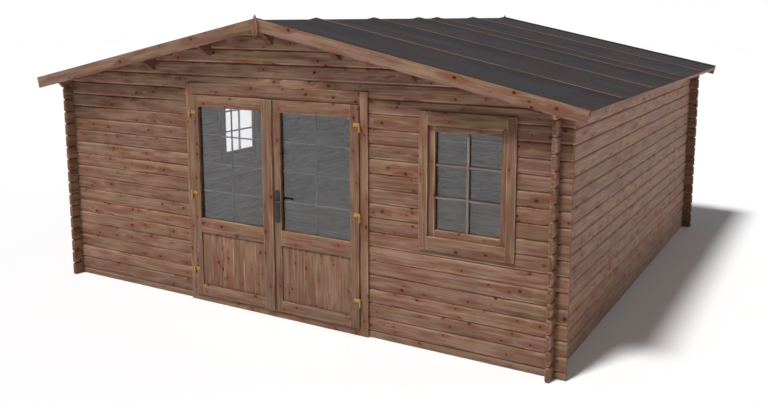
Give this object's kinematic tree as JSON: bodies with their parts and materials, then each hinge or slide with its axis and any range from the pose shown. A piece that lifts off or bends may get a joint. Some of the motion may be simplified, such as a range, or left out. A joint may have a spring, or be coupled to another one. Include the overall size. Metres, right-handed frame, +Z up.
{
  "type": "log cabin",
  "caption": "Square single-room log cabin with notched corner logs, a low gable roof in felt, glazed double doors that open outwards and fixed barred windows.",
  "frame": {"origin": "on the ground at the centre of the square plan", "axes": "+X to the right along the front wall seen from outside, +Y from the front wall to the back wall, +Z up"},
  "size_m": [5.288, 5.2086, 2.5034],
  "materials": {
    "log_timber": "stained pine logs with knots",
    "roof_timber": "stained planed pine beams",
    "roof_boards": "pine boards",
    "roof_felt": "mineral roofing felt",
    "verge_timber": "stained planed pine",
    "joinery_timber": "stained planed pine",
    "window_glass": "clear glass",
    "hinge_brass": "yellow passivated steel",
    "handle_metal": "dark painted metal",
    "floor_timber": "planed pine"
  },
  "bodies": {
    "cabin": {"front_wall_left": "log_timber", "front_wall_right": "log_timber", "front_gable": "log_timber", "back_wall": "log_timber", "back_gable": "log_timber", "left_wall": "log_timber", "right_wall": "log_timber", "ridge_purlin": "roof_timber", "left_upper_purlin": "roof_timber", "left_lower_purlin": "roof_timber", "right_upper_purlin": "roof_timber", "right_lower_purlin": "roof_timber", "roof_boards_left": "roof_boards", "roof_boards_right": "roof_boards", "roof_felt": "roof_felt", "front_verge_boards": "verge_timber", "back_verge_boards": "verge_timber", "front_finial": "verge_timber", "back_finial": "verge_timber", "left_eave_trim": "verge_timber", "right_eave_trim": "verge_timber", "door_left_jamb": "joinery_timber", "door_right_jamb": "joinery_timber", "door_head": "joinery_timber", "door_threshold": "joinery_timber", "front_window_frame": "joinery_timber", "front_window_sash": "joinery_timber", "left_window_frame": "joinery_timber", "left_window_sash": "joinery_timber", "front_window_glass": "window_glass", "left_window_glass": "window_glass", "door_frame_hinges": "hinge_brass", "floor_boards": "floor_timber", "floor_bearers": "floor_timber"},
    "left_door": {"left_door_frame": "joinery_timber", "left_door_panel": "joinery_timber", "left_door_glass": "window_glass", "left_door_cover_strip": "joinery_timber", "left_door_hinges": "hinge_brass"},
    "right_door": {"right_door_frame": "joinery_timber", "right_door_panel": "joinery_timber", "right_door_glass": "window_glass", "right_door_hinges": "hinge_brass", "door_handle_plates": "handle_metal"},
    "handle": {"door_lever": "handle_metal"}
  },
  "joints": [
    {"name": "left_door_swing", "type": "hinge", "parent": "cabin", "child": "left_door", "pos_m": [-0.856, -2.4488, 0.9], "axis": [0, 0, -1], "range_deg": [0, 165]},
    {"name": "right_door_swing", "type": "hinge", "parent": "cabin", "child": "right_door", "pos_m": [0.856, -2.4488, 0.9], "axis": [0, 0, 1], "range_deg": [0, 165]},
    {"name": "handle_turn", "type": "hinge", "parent": "right_door", "child": "handle", "pos_m": [0.068, -2.42, 1.01009], "axis": [0, 1, 0], "range_deg": [0, 40], "stiffness_Nm_per_rad": 0.8, "springref_deg": -34.38}
  ]
}
